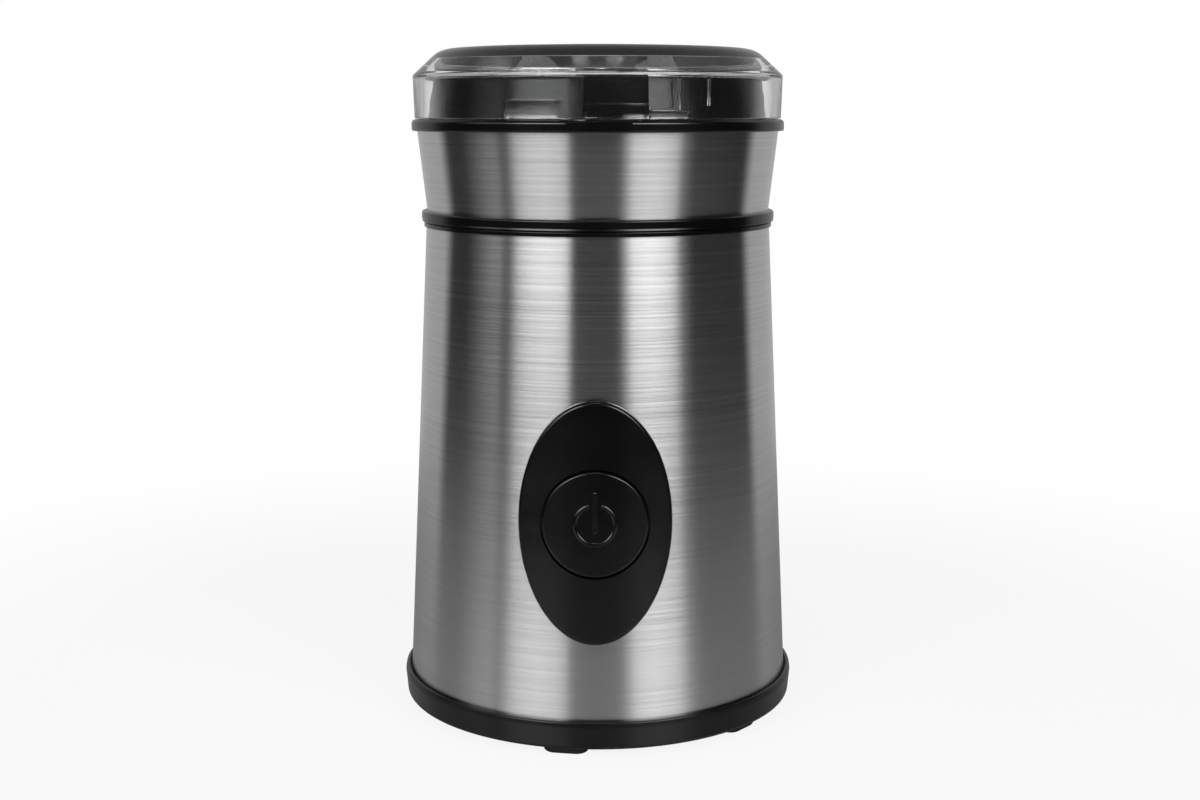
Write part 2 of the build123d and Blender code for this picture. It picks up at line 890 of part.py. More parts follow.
def rod_foot_radius():
    """Inner radius of the rod's foot, which covers the safety plunger."""
    return -safety_plunger_y() - plunger_radius - rod_foot_margin


def safety_plunger():
    """Pin of the safety switch, held down while the lid is on."""
    top = safety_block_top()
    x = safety_centre()[0]
    return disc(plunger_radius, top - plunger_depth, top + plunger_proud, x, safety_plunger_y())


# Button and its plate


def switch_bezel():
    """Oval plate that follows the body, with a guide tube for the button and two pegs."""
    oval = from_front(Ellipse(bezel_half_width, bezel_half_height), switch_level)
    plate = (oval & body_cone(bezel_proud)) - body_cone(0.02)
    plate = rounded_rim(plate, bezel_round)
    inside = body_cone(0.02)
    guide = along_y(Circle(bezel_tube_radius), -outside_reach, -bracket_face(), switch_level)
    plate += guide & body_cone(0.5)
    for level in peg_levels():
        peg_end = bezel_peg_length - shell_radius(level)
        plate += along_y(Circle(bezel_peg_radius), -outside_reach, peg_end, level) & body_cone(0.5)
    shelf = skirt_end() + button_flange_height + 0.2
    plate -= from_front(Circle(button_bore_radius), switch_level)
    return plate - along_y(Circle(bezel_tube_bore), -shelf, -inside_reach, switch_level)


def rounded_rim(piece, amount):
    """Rounds the front outer edge of a piece whose face lies on the body's offset cone."""
    face = piece.faces().sort_by(Axis.Y)[0]
    return fillet(face.outer_wire().edges(), amount)


def power_button():
    """Round cap with a curved face, a skirt with a stop flange, and a stem to the switch."""
    end = -skirt_end()
    cap = along_y(Circle(button_radius), -outside_reach, end, switch_level) & body_cone(button_proud)
    cap = rounded_rim(cap, button_round)
    hollow = along_y(Circle(button_radius - button_wall), -outside_reach, end, switch_level)
    cap -= hollow & body_cone(button_proud - button_face)
    flange = Circle(button_flange_radius) - Circle(button_radius - button_wall)
    cap += along_y(flange, end - button_flange_height, end, switch_level)
    stem = along_y(Circle(stem_radius), -outside_reach, -stem_tip(), switch_level)
    return cap + (stem & body_cone(button_proud - button_face + 0.1))


def button_back():
    """Depth of the back of the button's face, where the spring pushes."""
    return shell_radius(switch_level) + button_proud - button_face


def button_spring():
    """Return spring between the button's face and the bracket."""
    length = button_back() - bracket_face() - button_spring_gap
    coil = spring(button_spring_radius, button_spring_wire, 0, length, button_spring_turns)
    place = Plane(origin=(0, -bracket_face(), switch_level), x_dir=(1, 0, 0), z_dir=(0, -1, 0))
    return place * coil


def switch_bracket():
    """Disc that closes the guide tube, with two arms that grip the power switch."""
    front = -bracket_face()
    back = front + bracket_thickness
    plate = along_y(Circle(bezel_tube_radius) - Circle(stem_radius + button_gap), front, back, switch_level)
    near = block_width / 2
    far = near + bracket_arm_width
    low, high = switch_level - bracket_arm_height / 2, switch_level + bracket_arm_height / 2
    arm_back = -switch_face() + block_depth - 1
    for x_low, x_high in ((-far, -near), (near, far)):
        plate += block(x_low, x_high, back, arm_back, low, high)
    return plate


# Cord outlet


def cord_gland():
    """Bush in the back of the body that the cord comes out of, with a plate outside and a collar inside."""
    size = gland_plate_size
    outline = RectangleRounded(size, size, 3)
    plate = along_y(outline, inside_reach, outside_reach, gland_level)
    plate = (plate & body_cone(gland_plate_proud)) - body_cone(0.02)
    bush_foot = shell_radius(gland_level) + gland_plate_proud - gland_length
    bush = along_y(Circle(gland_radius), bush_foot, outside_reach, gland_level) & body_cone(0.5)
    collar_front = frame_radius(gland_level) - wall - gland_collar_gap
    collar_back = collar_front - gland_collar_thickness
    collar = along_y(Circle(gland_collar_radius), collar_back, collar_front, gland_level)
    gland = plate + bush + collar
    return gland - along_y(Circle(gland_bore_radius), inside_reach, outside_reach, gland_level)


# Motor, the part that turns


def motor_shaft():
    """Steel shaft from the lower bearing to the blade, with a thinner threaded end."""
    thread_top = nut_level + nut_height - 0.3
    return turned(
        (0, shaft_foot_level),
        (shaft_radius, shaft_foot_level, 0.5),
        (shaft_radius, blade_level),
        (thread_radius, blade_level),
        (thread_radius, thread_top, 0.4),
        (0, thread_top),
    )


def armature_core():
    """Stack of slotted steel plates on the shaft."""
    outline = Circle(rotor_radius) - Circle(shaft_radius)
    mouth_length = rotor_radius - slot_ring_radius + 1
    mouth = Pos((slot_ring_radius + rotor_radius) / 2, 0) * Rectangle(mouth_length, slot_mouth)
    slot = Pos(slot_ring_radius, 0) * Circle(slot_radius) + mouth
    for index in range(slot_count):
        outline -= Rot(0, 0, index * 360 / slot_count) * slot
    return Pos(0, 0, stack_level) * extrude(outline, stack_height)


def armature_windings():
    """Copper in the slots, joined by rounded end turns above and below the stack."""
    inner, outer = end_turn_inner_radius, end_turn_radius
    copper = []
    for low, high in (
        (stack_level - end_turn_height, stack_level - winding_gap),
        (stack_top + winding_gap, stack_top + end_turn_height),
    ):
        copper.append(turned((inner, low, 1.5), (outer, low, 2.2), (outer, high, 1.5), (inner, high, 1.0)))
    bar = disc(slot_radius - winding_gap, stack_level - 1, stack_top + 1, slot_ring_radius)
    bars = [Rot(0, 0, index * 360 / slot_count) * bar for index in range(slot_count)]
    return copper[0] + copper[1] + bars


def commutator_core():
    """Moulded sleeve that carries the copper bars."""
    return tube(commutator_core_radius, shaft_radius, commutator_level, commutator_level + commutator_height)


def commutator_bars():
    """Ring of copper bars, one solid each, with a riser at the top."""
    low = commutator_level + 0.5
    high = commutator_level + commutator_height
    ring = turned(
        (commutator_core_radius, low),
        (commutator_radius, low, 0.3),
        (commutator_radius, high - riser_height),
        (commutator_radius + riser_width, high - riser_height),
        (commutator_radius + riser_width, high),
        (commutator_core_radius, high),
    )
    reach = commutator_radius + riser_width + 1
    for index in range(bar_count):
        cut = block(0, reach, -bar_gap / 2, bar_gap / 2, low - 1, high + 1)
        ring -= Rot(0, 0, index * 360 / bar_count) * cut
    return ring.solids()


def cooling_fan():
    """Moulded fan: hub, plate and curved vanes."""
    top = fan_level + fan_height
    fan = turned(
        (shaft_radius, fan_level),
        (fan_radius, fan_level),
        (fan_radius, fan_level + fan_plate),
        (fan_hub_radius, fan_level + fan_plate),
        (fan_hub_radius, top, 0.6),
        (shaft_radius, top),
    )
    inner, outer = fan_hub_radius - 0.5, fan_radius - 0.2
    bend = Circle(fan_vane_curve) - Circle(fan_vane_curve - fan_vane_thickness)
    bow = Pos(inner, -fan_vane_curve) * bend
    quarter = Pos(inner + fan_vane_curve, 0) * Rectangle(2 * fan_vane_curve, 2 * fan_vane_curve)
    vane = (bow & quarter) & (Circle(outer) - Circle(inner))
    vane_solid = Pos(0, 0, fan_level + fan_plate) * extrude(vane, fan_height - fan_plate - 1)
    return fan + [Rot(0, 0, index * 360 / fan_vane_count) * vane_solid for index in range(fan_vane_count)]


def blade_hub():
    """Collar under the blade that lifts it off the floor of the cup."""
    return turned(
        (shaft_radius, hub_level),
        (hub_radius, hub_level, 0.4),
        (hub_radius, hub_level + 1.6),
        (hub_radius - 1.4, blade_level, 0.3),
        (shaft_radius, blade_level),
    )


def grinding_blade():
    """Two-winged blade: flat middle, wings that twist and rise to their tips, bevelled leading edges."""
    half = blade_root_width / 2
    middle = Circle(half) + Rectangle(2 * blade_root_radius, blade_root_width)
    plate = extrude(middle, blade_thickness) - extrude(Circle(thread_radius), blade_thickness)
    middle_radius = (blade_root_radius + blade_tip_radius) / 2
    stations = [
        (blade_root_radius, blade_root_width, 0.0, 0.0),
        (middle_radius, (blade_root_width + blade_tip_width) / 2 + 1, blade_pitch * 0.75, blade_rise * 0.35),
        (blade_tip_radius, blade_tip_width, blade_pitch, blade_rise),
    ]
    sections = []
    for radius, width, pitch, rise in stations:
        across = width / 2
        outline = Polyline(
            (-across, 0),
            (across - blade_thickness, 0),
            (across, blade_thickness * 0.7),
            (across, blade_thickness),
            (-across, blade_thickness),
            close=True,
        )
        plane = Plane(origin=(radius, 0, rise), x_dir=(0, 1, 0), z_dir=(1, 0, 0))
        sections.append(plane * Rot(0, 0, pitch) * make_face(outline))
    wing = loft(sections)
    return Pos(0, 0, blade_level) * (plate + wing + Rot(0, 0, 180) * wing)


def blade_nut():
    """Domed nut that clamps the blade."""
    prism = extrude(RegularPolygon(nut_width / 2, 6, major_radius=False), nut_height)
    dome_radius = nut_width / 2
    wide = dome_radius + 0.5
    bevel = (dome_radius - 1.2, nut_height)
    cap = turned((0, 0), (wide, 0), (wide, nut_height - 0.6), bevel, (0, nut_height))
    dome = turned(
        (0, nut_height - 0.2),
        (dome_radius - 0.9, nut_height - 0.2),
        (dome_radius - 0.9, nut_height + nut_dome, 1.7),
        (0, nut_height + nut_dome),
    )
    body = (prism & cap) + dome
    return Pos(0, 0, nut_level) * (body - extrude(Circle(thread_radius), nut_height - 0.2))


# Motor, the part that stands still


def stator_outline():
    """Plan of one stator plate: yoke, two pole necks and two pole shoes."""
    shoe_outer = rotor_radius + air_gap + pole_shoe_thickness
    yoke = RectangleRounded(stator_width, stator_depth, stator_corner)
    yoke -= RectangleRounded(window_width, window_depth, window_corner)
    half_turn = math.radians(pole_shoe_angle)
    reach = shoe_outer * 2
    fan_out = [(0, 0), (reach * math.cos(half_turn), reach * math.sin(half_turn)), (reach * 1.5, 0)]
    fan_out.append((reach * math.cos(half_turn), -reach * math.sin(half_turn)))
    shoe = Circle(shoe_outer) & make_face(Polyline(*fan_out, close=True))
    neck_middle = (rotor_radius + window_width / 2 + 1) / 2
    neck = Pos(neck_middle, 0) * Rectangle(window_width / 2 + 1 - rotor_radius, pole_neck_width)
    pole = shoe + neck
    return yoke + pole + Rot(0, 0, 180) * pole - Circle(rotor_radius + air_gap)


def stator_core():
    """Stack of steel plates round the armature, with holes for the two long bolts."""
    core = Pos(0, 0, stack_level) * extrude(stator_outline(), stack_height)
    for side in (-1, 1):
        core -= disc(motor_bolt_radius + fit_gap, stack_level, stack_top, side * motor_bolt_ring)
    return core


def field_coil(side):
    """Taped coil round one pole neck, standing proud of the stack above and below."""
    width = pole_neck_width + 2 * coil_gap
    height = stack_height + 2 * coil_gap
    build_up = (window_depth - width) / 2 - coil_side_gap
    inner = RectangleRounded(width, height, 0.5)
    outer = RectangleRounded(width + 2 * build_up, height + 2 * build_up, build_up - 0.5)
    shoe_back = rotor_radius + air_gap + pole_shoe_thickness + fit_gap
    plane = Plane(origin=(shoe_back, 0, stack_level + stack_height / 2), x_dir=(0, 1, 0), z_dir=(1, 0, 0))
    coil = extrude(plane * (outer - inner), window_width / 2 - coil_gap - shoe_back)
    for end in (0, -1):
        coil = fillet(coil.faces().sort_by(Axis.X)[end].outer_wire().edges(), coil_round)
    return coil if side > 0 else Rot(0, 0, 180) * coil


def bearing_frame(plate_level, stack_face, up):
    """Bent steel bridge over one end of the motor: plate, bearing cup, legs and bolted feet."""
    turn = 1 if up else -1
    half = frame_width / 2
    reach = frame_leg_radius

    def span(first, last):
        return tuple(sorted((first, last)))

    far = plate_level + turn * frame_plate
    frame = block(-reach, reach, -half, half, *span(plate_level, far))
    for side in (-1, 1):
        leg = span(side * (reach - frame_plate), side * reach)
        foot = span(side * (motor_bolt_ring - bolt_head_radius), side * reach)
        frame += block(*leg, -half, half, *span(plate_level, stack_face))
        frame += block(*foot, -half, half, *span(stack_face, stack_face + turn * frame_plate))
        hole = span(stack_face, stack_face + turn * frame_plate)
        frame -= disc(motor_bolt_radius + fit_gap, *hole, side * motor_bolt_ring)
    cup_end = plate_level + turn * (frame_plate + bearing_length)
    frame += disc(bearing_radius + cup_wall_thickness, *span(plate_level, cup_end))
    frame -= disc(bearing_radius, *span(plate_level + turn * frame_plate, cup_end))
    frame -= disc(shaft_radius + 1.0, *span(plate_level, far))
    return frame


def upper_frame():
    """Bridge over the top of the motor, hung from the deck on two rubber bushes."""
    frame = bearing_frame(upper_frame_level, stack_top, True)
    low, high = upper_frame_level, upper_frame_level + frame_plate
    for side in (-1, 1):
        frame -= disc(screw_radius + screw_hole_gap, low, high, side * mount_ring)
    return frame


def lower_frame():
    """Bridge under the motor, with two arms that carry the brush holders."""
    frame = bearing_frame(lower_frame_level + frame_plate, stack_level, False)
    low, high = lower_frame_level, lower_frame_level + frame_plate
    half = brush_arm_width / 2
    arm = block(-half, half, -frame_arm_reach, frame_arm_reach, low, high)
    return frame + (arm - disc(bearing_radius + cup_wall_thickness, low - bearing_length, high))


def bearing(plate_level, up):
    """Sintered bush pressed into its cup, with chamfered ends."""
    low = plate_level + frame_plate if up else plate_level - bearing_length
    high = low + bearing_length
    bore = shaft_radius + running_gap
    return turned(
        (bore, low),
        (bearing_radius - 0.5, low),
        (bearing_radius, low + 0.5),
        (bearing_radius, high - 0.5),
        (bearing_radius - 0.5, high),
        (bore, high),
    )


def motor_bolts():
    """Two long bolts, with nuts, that clamp the bridges and the stator together."""
    top, foot = stack_top + frame_plate, stack_level - frame_plate
    leg_face = frame_leg_radius - frame_plate
    between_legs = Rectangle(2 * leg_face, frame_width)
    bolts = []
    for side in (-1, 1):
        x = side * motor_bolt_ring
        head = Pos(x, 0) * Circle(bolt_head_radius) & between_legs
        nut = Pos(x, 0) * Rot(0, 0, 30) * RegularPolygon(bolt_nut_radius, 6) & between_legs
        shank = disc(motor_bolt_radius, foot - bolt_nut_height - bolt_tail, top, x)
        head_solid = Pos(0, 0, top) * extrude(head, bolt_head_height)
        bolts.append(shank + head_solid + Pos(0, 0, foot - bolt_nut_height) * extrude(nut, bolt_nut_height))
    return bolts


def motor_grommets():
    """Rubber bushes between the upper bridge and the deck posts."""
    low = upper_frame_level + frame_plate
    ring = tube(mount_post_radius, screw_radius + grommet_gap, low, low + grommet_height)
    return [Pos(side * mount_ring, 0, 0) * ring for side in (-1, 1)]


def mount_screws():
    """Screws that hang the motor from the deck posts."""
    length = frame_plate + grommet_height + mount_grip
    return [screw(side * mount_ring, 0, upper_frame_level, length) for side in (-1, 1)]


def square_along_y(size, y_low, y_high):
    """Square bar along Y at the level of the brushes."""
    return along_y(Rectangle(size, size), y_low, y_high, brush_level)


def brush_holder(turn):
    """Moulded block on an arm of the lower bridge, with a square channel for the brush."""
    foot = lower_frame_level + frame_plate
    channel = brush_size + 2 * brush_channel_gap
    half = channel / 2 + brush_tube_wall
    body = block(-half, half, -brush_tube_reach, -brush_tube_start, foot, brush_level + half)
    body -= square_along_y(channel, -brush_tube_reach + brush_tube_wall, -brush_tube_start)
    return Rot(0, 0, turn) * body


def carbon_brush(turn):
    """Carbon block with a hollow end that fits the commutator."""
    front = commutator_radius + brush_gap
    bar = square_along_y(brush_size, -front - brush_length, -commutator_core_radius)
    high = commutator_level + commutator_height + 2
    return Rot(0, 0, turn) * (bar - disc(front, commutator_level - 2, high))


def brush_spring(turn):
    """Spring that pushes the brush onto the commutator."""
    back = commutator_radius + brush_gap + brush_length
    length = brush_tube_reach - brush_tube_wall - back
    coil = spring(brush_size / 2 - brush_spring_wire, brush_spring_wire, 0, length, brush_spring_turns)
    place = Plane(origin=(0, -back, brush_level), x_dir=(1, 0, 0), z_dir=(0, -1, 0))
    return Rot(0, 0, turn) * (place * coil)


# Writing the parts


def write(name, shape):
    """One STEP file for one named piece."""
    solids = shape if isinstance(shape, list) else shape.solids()
    export_step(Compound(children=list(solids)) if len(solids) > 1 else solids[0], f"parts/{name}.step")


def main():
    os.makedirs("parts", exist_ok=True)
    pieces = {
        "base_cover": base_cover(),
        "base_screws": base_screws(),
        "body_shell": body_shell(),
        "chassis": chassis(),
        "collar_frame": collar_frame(),
        "collar_screws": collar_screws(),
        "waist_ring": waist_ring(),
        "collar_band": collar_band(),
        "grinding_bowl": grinding_bowl(),
        "bowl_gasket": bowl_gasket(),
        "bowl_seal": bowl_seal(),
        "lid": lid(),
        "interlock_rod": interlock_rod(),
        "interlock_spring": interlock_spring(),
        "safety_switch": safety_switch(),
        "safety_plunger": safety_plunger(),
        "switch_bezel": switch_bezel(),
        "power_button": power_button(),
        "button_spring": button_spring(),
        "switch_bracket": switch_bracket(),
        "power_switch": power_switch(),
        "switch_plunger": switch_plunger(),
        "cord_gland": cord_gland(),
        "motor_shaft": motor_shaft(),
        "armature_core": armature_core(),
        "armature_windings": armature_windings(),
        "commutator_core": commutator_core(),
        "commutator_bars": commutator_bars(),
        "cooling_fan": cooling_fan(),
        "blade_hub": blade_hub(),
        "grinding_blade": grinding_blade(),
        "blade_nut": blade_nut(),
        "stator_core": stator_core(),
        "field_coil_left": field_coil(-1),
        "field_coil_right": field_coil(1),
        "upper_frame": upper_frame(),
        "lower_frame": lower_frame(),
        "upper_bearing": bearing(upper_frame_level, True),
        "lower_bearing": bearing(lower_frame_level, False),
        "motor_bolts": motor_bolts(),
        "motor_grommets": motor_grommets(),
        "mount_screws": mount_screws(),
        "brush_holder_front": brush_holder(0),
        "brush_holder_rear": brush_holder(180),
        "carbon_brush_front": carbon_brush(0),
        "carbon_brush_rear": carbon_brush(180),
        "brush_spring_front": brush_spring(0),
        "brush_spring_rear": brush_spring(180),
    }
    for index in range(foot_count):
        pieces[f"foot_{index + 1}"] = foot(index)
    for name, shape in pieces.items():
        write(name, shape)


main()
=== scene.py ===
import json
import math

import bmesh
import bpy
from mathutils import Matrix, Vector

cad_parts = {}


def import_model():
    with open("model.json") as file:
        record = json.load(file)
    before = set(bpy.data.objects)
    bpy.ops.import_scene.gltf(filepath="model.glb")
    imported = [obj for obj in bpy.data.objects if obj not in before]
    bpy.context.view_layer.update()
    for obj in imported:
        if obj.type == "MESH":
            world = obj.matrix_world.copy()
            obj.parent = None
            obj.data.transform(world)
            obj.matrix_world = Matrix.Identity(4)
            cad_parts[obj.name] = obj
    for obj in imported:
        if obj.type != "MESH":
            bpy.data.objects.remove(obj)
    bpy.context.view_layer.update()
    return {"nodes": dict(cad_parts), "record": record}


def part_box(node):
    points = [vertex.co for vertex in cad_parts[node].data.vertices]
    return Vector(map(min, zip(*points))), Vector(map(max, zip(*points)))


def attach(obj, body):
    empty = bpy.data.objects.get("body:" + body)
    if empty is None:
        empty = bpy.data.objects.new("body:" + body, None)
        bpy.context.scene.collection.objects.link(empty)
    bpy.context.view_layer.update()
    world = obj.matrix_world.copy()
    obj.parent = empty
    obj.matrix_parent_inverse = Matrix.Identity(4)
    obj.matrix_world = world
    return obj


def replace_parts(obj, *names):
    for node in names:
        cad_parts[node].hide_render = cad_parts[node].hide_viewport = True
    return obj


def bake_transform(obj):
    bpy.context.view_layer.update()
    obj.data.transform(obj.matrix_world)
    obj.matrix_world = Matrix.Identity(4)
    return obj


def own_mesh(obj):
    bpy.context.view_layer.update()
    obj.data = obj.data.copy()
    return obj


# Looks of the coffee grinder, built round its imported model. Blender works in metres. The front is -Y.

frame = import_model()
nodes = frame["nodes"]

MM = 0.001
MM_PER_METRE = 1000

# Camera: the photograph is 1200 x 800 and its middle is the lens axis. Distances are in metres.
PHOTO_WIDTH = 1200
FOCAL_PIXELS = 1674.0
SENSOR_WIDTH = 36.0
CAMERA_DISTANCE = 0.4278
CAMERA_HEIGHT = 0.1517
CAMERA_PITCH = math.radians(9.77)
CAMERA_BEARING = math.radians(0.7)
CAMERA_CLIP = 0.01
AXIS_PIXEL = 597.8

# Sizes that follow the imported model, in millimetres
SHELL_FOOT = (49.2, 6.6)
SHELL_TOP = (43.4, 123.4)
SWITCH_LEVEL = 56.8
BUTTON_PROUD = 2.1
LID_FOOT = 150.05
LID_BORE = 43.6
LID_ROOT = 0.5

# Power sign on the button, in millimetres. The gap is half the ring's opening, in degrees.
SIGN_RADIUS = 4.75
SIGN_WIDTH = 1.1
SIGN_GAP = 17.0
SIGN_BAR_TOP = 7.85
SIGN_BAR_FOOT = -2.2
SIGN_ROUND = 0.75
SIGN_STEP = 0.12
BEAD_STEPS = 4
BEAD_LEAN = 13

# Node graphs

NOISE_ROUGHNESS = 0.55


class Graph:
    """Short ways to add and join shader nodes in one material or world."""

    def __init__(self, owner):
        owner.use_nodes = True
        self.tree = owner.node_tree
        self.tree.nodes.clear()

    def add(self, kind, **settings):
        node = self.tree.nodes.new(kind)
        for name, value in settings.items():
            setattr(node, name, value)
        return node

    def link(self, source, target):
        self.tree.links.new(source, target)

    def feed(self, node, name, value):
        """Sets an input to a number or a colour, or joins it to an output."""
        socket = node.inputs[name]
        if isinstance(value, bpy.types.NodeSocket):
            self.link(value, socket)
        else:
            socket.default_value = value

    def maths(self, operation, first, second=0.0):
        node = self.add("ShaderNodeMath", operation=operation)
        for slot, value in enumerate((first, second)):
            self.feed(node, slot, value)
        return node.outputs[0]

    def product(self, *values):
        result = values[0]
        for value in values[1:]:
            result = self.maths("MULTIPLY", result, value)
        return result

    def place(self):
        """Place on the object, in metres."""
        return self.add("ShaderNodeTexCoord").outputs["Object"]

    def scaled(self, vector, scale):
        node = self.add("ShaderNodeMapping")
        self.link(vector, node.inputs["Vector"])
        node.inputs["Scale"].default_value = scale
        return node.outputs["Vector"]

    def noise(self, scale, detail):
        """Noise over the object. The scale has one entry for each axis, in waves per metre."""
        node = self.add("ShaderNodeTexNoise")
        self.link(self.scaled(self.place(), scale), node.inputs["Vector"])
        self.feed(node, "Scale", 1.0)
        self.feed(node, "Detail", detail)
        self.feed(node, "Roughness", NOISE_ROUGHNESS)
        return node.outputs["Fac"]

    def ranged(self, value, low, high, out_low, out_high):
        node = self.add("ShaderNodeMapRange")
        self.feed(node, "Value", value)
        self.feed(node, "From Min", low)
        self.feed(node, "From Max", high)
        self.feed(node, "To Min", out_low)
        self.feed(node, "To Max", out_high)
        return node.outputs["Result"]

    def blended(self, factor, first, second):
        node = self.add("ShaderNodeMix", data_type="RGBA")
        self.feed(node, 0, factor)
        self.feed(node, 6, first)
        self.feed(node, 7, second)
        return node.outputs[2]

    def bump(self, height, depth):
        node = self.add("ShaderNodeBump")
        self.feed(node, "Strength", 1.0)
        self.feed(node, "Distance", depth)
        self.feed(node, "Height", height)
        return node.outputs["Normal"]

    def mixed(self, factor, first, second):
        node = self.add("ShaderNodeMixShader")
        self.link(factor, node.inputs[0])
        self.link(first.outputs[0], node.inputs[1])
        self.link(second.outputs[0], node.inputs[2])
        return node

    def output(self, shader, kind="Material"):
        node = self.add(f"ShaderNodeOutput{kind}")
        self.link(shader.outputs[0], node.inputs["Surface"])

    def surface(self, **inputs):
        """The main shader, wired to the output. Spaces in the names of inputs are underscores."""
        shader = self.add("ShaderNodeBsdfPrincipled")
        for name, value in inputs.items():
            self.feed(shader, name.replace("_", " "), value)
        self.output(shader)
        return shader


def grey(level):
    return (level, level, level, 1.0)


# Materials: scales are in waves per metre, depths in metres. The brushing is turned by a quarter, so that
# reflections smear up and down.

ROUGHNESS_SPREAD = 0.03
FINE_STREAKS, FINE_SHARE = (60, 60, 9000), 0.35
LONG_STREAKS, LONG_SHARE = (14, 14, 2600), 0.65
STREAK_PATCHES, PATCH_SHARE = (30, 30, 30), 0.4
BRUSH_TURN = 0.25
LID_COLOUR = (0.97, 0.975, 0.98, 1.0)
LID_SHADOW = (0.9, 0.9, 0.9, 1.0)
LID_IOR = 1.53
LID_HAZE = 0.03
LID_RIPPLE = 0.00012
METAL_SMOOTHER, METAL_ROUGHER = 0.05, 0.06
METAL_MARKS = 0.00001
STRAND_DEPTH = 0.0002
PLATE_DEPTH = 0.0001


def brushed(name, tone, roughness, anisotropic, streak):
    """Steel brushed round the axis: fine level scratches that smear what it reflects up and down."""
    material = bpy.data.materials.new(name)
    graph = Graph(material)
    fine = graph.noise(FINE_STREAKS, 3)
    long_streaks = graph.noise(LONG_STREAKS, 4)
    patches = graph.noise(STREAK_PATCHES, 3)
    streaks = graph.maths("ADD", graph.product(fine, FINE_SHARE), graph.product(long_streaks, LONG_SHARE))
    low, high = tone
    colour = graph.blended(graph.ranged(streaks, 0.3, 0.7, 0.0, 1.0), grey(low), grey(high))
    uneven = graph.maths("ADD", streaks, graph.product(patches, PATCH_SHARE))
    rough = graph.ranged(uneven, 0.4, 1.0, roughness - ROUGHNESS_SPREAD, roughness + ROUGHNESS_SPREAD)
    tangent = graph.add("ShaderNodeTangent", direction_type="RADIAL", axis="Z")
    shader = graph.surface(Base_Color=colour, Metallic=1.0, Roughness=rough)
    shader.inputs["Anisotropic"].default_value = anisotropic
    shader.inputs["Anisotropic Rotation"].default_value = BRUSH_TURN
    graph.link(tangent.outputs[0], shader.inputs["Tangent"])
    graph.link(graph.bump(streaks, streak), shader.inputs["Normal"])
    return material


def moulded(name, tone, roughness, grain=0.00002, specular=0.5):
    """Moulded plastic, rubber or pressed carbon with a fine grain."""
    material = bpy.data.materials.new(name)
    graph = Graph(material)
    skin = graph.noise((2600, 2600, 2600), 2)
    broad = graph.noise((60, 60, 60), 3)
    low, high = tone
    colour = graph.blended(graph.ranged(broad, 0.35, 0.65, 0.0, 1.0), low, high)
    rough = graph.ranged(broad, 0.3, 0.7, roughness - ROUGHNESS_SPREAD, roughness + ROUGHNESS_SPREAD)
    shader = graph.surface(Base_Color=colour, Roughness=rough)
    shader.inputs["Specular IOR Level"].default_value = specular
    graph.link(graph.bump(skin, grain), shader.inputs["Normal"])
    return material


def clear_plastic(name):
    """Clear polished moulding. Light passes to what is inside it instead of leaving a black shadow."""
    material = bpy.data.materials.new(name)
    graph = Graph(material)
    haze = graph.noise((45, 45, 45), 3)
    shader = graph.add("ShaderNodeBsdfPrincipled")
    shader.inputs["Base Color"].default_value = LID_COLOUR
    shader.inputs["Transmission Weight"].default_value = 1.0
    shader.inputs["IOR"].default_value = LID_IOR
    graph.link(graph.ranged(haze, 0.35, 0.7, 0.0, LID_HAZE), shader.inputs["Roughness"])
    graph.link(graph.bump(haze, LID_RIPPLE), shader.inputs["Normal"])
    see_through = graph.add("ShaderNodeBsdfTransparent")
    see_through.inputs["Color"].default_value = LID_SHADOW
    rays = graph.add("ShaderNodeLightPath")
    graph.output(graph.mixed(rays.outputs["Is Shadow Ray"], shader, see_through))
    return material


def bright_metal(name, low, high, roughness):
    """Turned, plated or drawn metal with faint marks of its making."""
    material = bpy.data.materials.new(name)
    graph = Graph(material)
    marks = graph.noise((300, 300, 2400), 4)
    spots = graph.noise((160, 160, 160), 4)
    colour = graph.blended(graph.ranged(spots, 0.35, 0.65, 0.0, 1.0), low, high)
    rough = graph.ranged(marks, 0.3, 0.7, roughness - METAL_SMOOTHER, roughness + METAL_ROUGHER)
    shader = graph.surface(Base_Color=colour, Metallic=1.0, Roughness=rough)
    graph.link(graph.bump(marks, METAL_MARKS), shader.inputs["Normal"])
    return material


def wound_copper(name):
    """Enamelled wire: fine parallel strands under varnish."""
    material = bpy.data.materials.new(name)
    graph = Graph(material)
    wave = graph.add("ShaderNodeTexWave", wave_type="BANDS", bands_direction="DIAGONAL")
    graph.link(graph.place(), wave.inputs["Vector"])
    wave.inputs["Scale"].default_value = 420.0
    wave.inputs["Distortion"].default_value = 1.5
    colour = graph.blended(wave.outputs["Fac"], (0.16, 0.05, 0.02, 1), (0.62, 0.24, 0.09, 1))
    shader = graph.surface(Base_Color=colour, Metallic=0.7, Roughness=0.35)
    graph.link(graph.bump(wave.outputs["Fac"], STRAND_DEPTH), shader.inputs["Normal"])
    return material


def stacked_plates(name):
    """Varnished steel plates, seen as fine level lines."""
    material = bpy.data.materials.new(name)
    graph = Graph(material)
    wave = graph.add("ShaderNodeTexWave", wave_type="BANDS", bands_direction="Z")
    graph.link(graph.place(), wave.inputs["Vector"])
    wave.inputs["Scale"].default_value = 320.0
    spots = graph.noise((200, 200, 200), 4)
    tone = graph.product(wave.outputs["Fac"], graph.ranged(spots, 0.3, 0.7, 0.6, 1.0))
    colour = graph.blended(tone, (0.05, 0.052, 0.056, 1), (0.3, 0.31, 0.33, 1))
    shader = graph.surface(Base_Color=colour, Metallic=0.8, Roughness=0.45)
    graph.link(graph.bump(wave.outputs["Fac"], PLATE_DEPTH), shader.inputs["Normal"])
    return material


